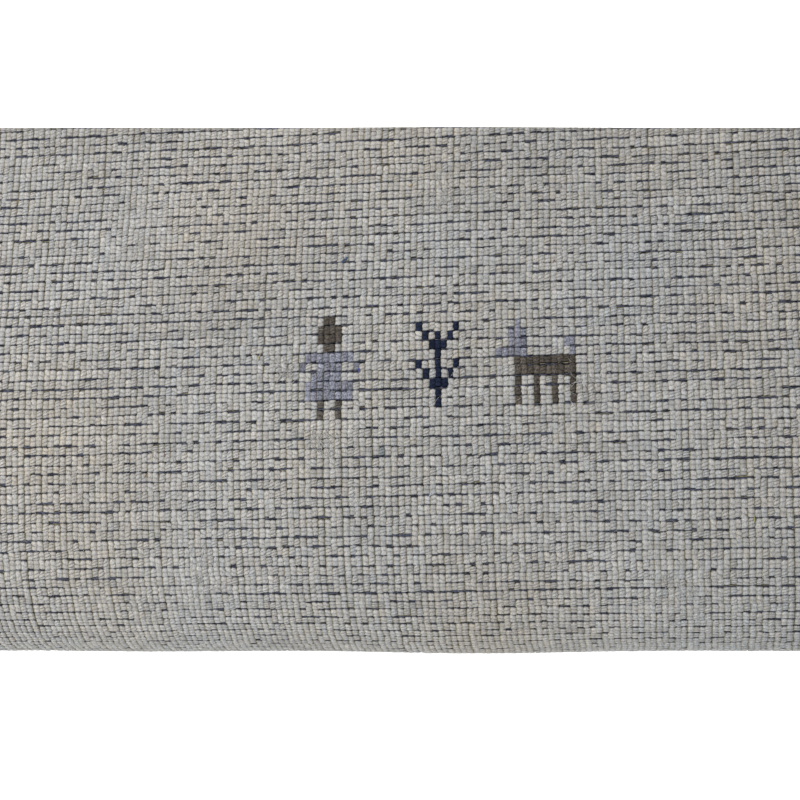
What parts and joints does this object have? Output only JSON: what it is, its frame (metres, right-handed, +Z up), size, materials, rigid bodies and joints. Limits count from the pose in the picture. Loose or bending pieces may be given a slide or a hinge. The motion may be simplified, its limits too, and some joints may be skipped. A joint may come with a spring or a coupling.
{
  "type": "gabbeh rug",
  "caption": "Cut length of a knotted wool gabbeh rug, folded over once with its back outside and lying on its lower layer.",
  "frame": {"origin": "bottom centre of the bounding box", "axes": "+X along the weft, from the picture's left to its right; -Y towards the roll of the fold; +Z up from the floor"},
  "size_m": [0.5421, 0.3474, 0.1254],
  "materials": {
    "wool_back": "matt"
  },
  "bodies": {
    "root": {"rug_cloth": "wool_back"}
  },
  "joints": []
}
